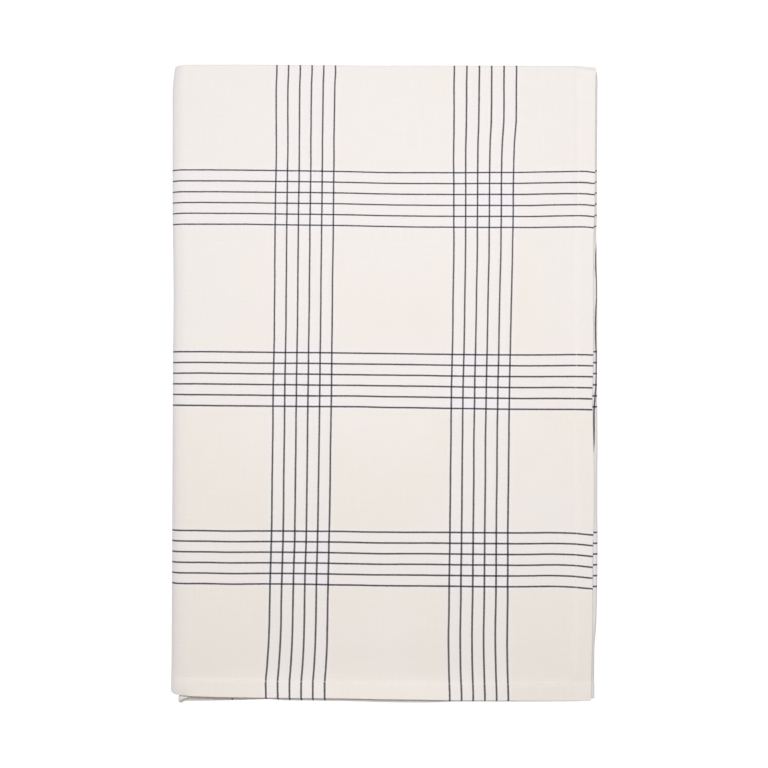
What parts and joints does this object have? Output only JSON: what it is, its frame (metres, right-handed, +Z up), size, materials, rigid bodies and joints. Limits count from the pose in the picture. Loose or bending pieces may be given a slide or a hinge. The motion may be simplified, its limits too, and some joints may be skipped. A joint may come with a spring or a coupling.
{
  "type": "folded tablecloth",
  "caption": "Woven cotton tablecloth with a windowpane check of fine dark lines and turned hems, folded into a flat oblong packet that rests on a shelf or table.",
  "frame": {"origin": "middle of the underside of the folded packet's box", "axes": "+Y along the packet's length towards its far fold, +X across it towards the hemmed side, +Z up through the plies"},
  "size_m": [0.408, 0.6074, 0.022],
  "materials": {
    "cloth": "matt plain-woven cotton, cream with near-black check lines"
  },
  "bodies": {
    "root": {"tablecloth": "cloth"}
  },
  "joints": []
}
